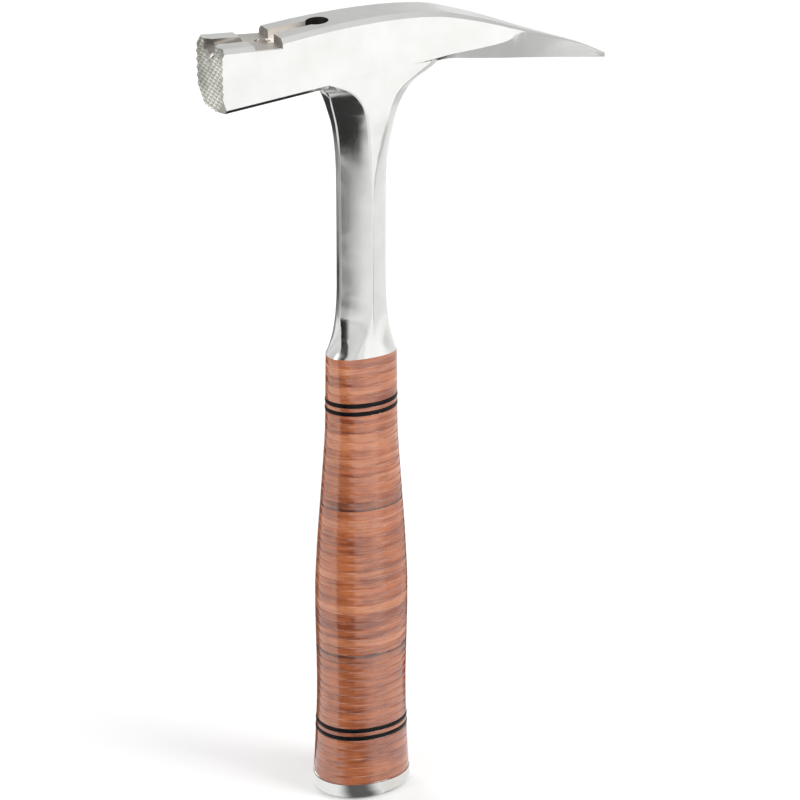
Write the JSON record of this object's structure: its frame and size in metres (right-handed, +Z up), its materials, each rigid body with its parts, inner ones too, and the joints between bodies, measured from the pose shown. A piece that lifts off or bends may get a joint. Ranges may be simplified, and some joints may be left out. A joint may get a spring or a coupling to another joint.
{
  "type": "rock hammer",
  "caption": "One-piece forged steel hammer with a chequered square face, tapered pick, nail groove and claw-slot puller, flat neck and stacked-leather grip with a steel butt cap.",
  "frame": {"origin": "centre of the flat underside of the butt cap, on the axis of the grip", "axes": "+Z up along the grip and the neck to the head, +X towards the pick, -X towards the striking face, Y across the head"},
  "size_m": [0.1717, 0.0328, 0.332],
  "materials": {
    "polished_steel": "satin polished, finely ground along the head and the neck",
    "cap_steel": "turned and polished",
    "magnet_nickel": "nickel plated",
    "black_ring": "glossy black fibre",
    "leather_tan": "lacquered",
    "leather_light": "lacquered",
    "leather_dark": "lacquered"
  },
  "bodies": {
    "root": {"black_ring_lower_1": "black_ring", "black_ring_lower_2": "black_ring", "black_ring_upper_1": "black_ring", "black_ring_upper_2": "black_ring", "butt_cap": "cap_steel", "forged_hammer": "polished_steel", "leather_washer_01": "leather_tan", "leather_washer_02": "leather_tan", "leather_washer_03": "leather_tan", "leather_washer_04": "leather_tan", "leather_washer_05": "leather_tan", "leather_washer_06": "leather_tan", "leather_washer_07": "leather_tan", "leather_washer_08": "leather_tan", "leather_washer_09": "leather_tan", "leather_washer_10": "leather_tan", "leather_washer_11": "leather_tan", "leather_washer_12": "leather_tan", "leather_washer_13": "leather_tan", "leather_washer_14": "leather_dark", "leather_washer_15": "leather_tan", "leather_washer_16": "leather_light", "leather_washer_17": "leather_tan", "leather_washer_18": "leather_tan", "leather_washer_19": "leather_tan", "leather_washer_20": "leather_light", "leather_washer_21": "leather_tan", "leather_washer_22": "leather_tan", "leather_washer_23": "leather_tan", "leather_washer_24": "leather_light", "leather_washer_25": "leather_tan", "leather_washer_26": "leather_tan", "leather_washer_27": "leather_tan", "leather_washer_28": "leather_tan", "leather_washer_29": "leather_tan", "leather_washer_30": "leather_light", "leather_washer_31": "leather_tan", "leather_washer_32": "leather_dark", "leather_washer_33": "leather_tan", "leather_washer_34": "leather_tan", "leather_washer_35": "leather_light", "leather_washer_36": "leather_tan", "leather_washer_37": "leather_light", "leather_washer_38": "leather_tan", "leather_washer_39": "leather_light", "leather_washer_40": "leather_light", "leather_washer_41": "leather_tan", "leather_washer_42": "leather_tan", "leather_washer_43": "leather_tan", "leather_washer_44": "leather_light", "leather_washer_45": "leather_tan", "leather_washer_46": "leather_light", "leather_washer_47": "leather_tan", "nail_magnet": "magnet_nickel", "thin_washer_lower": "leather_tan", "thin_washer_upper": "leather_tan"}
  },
  "joints": []
}
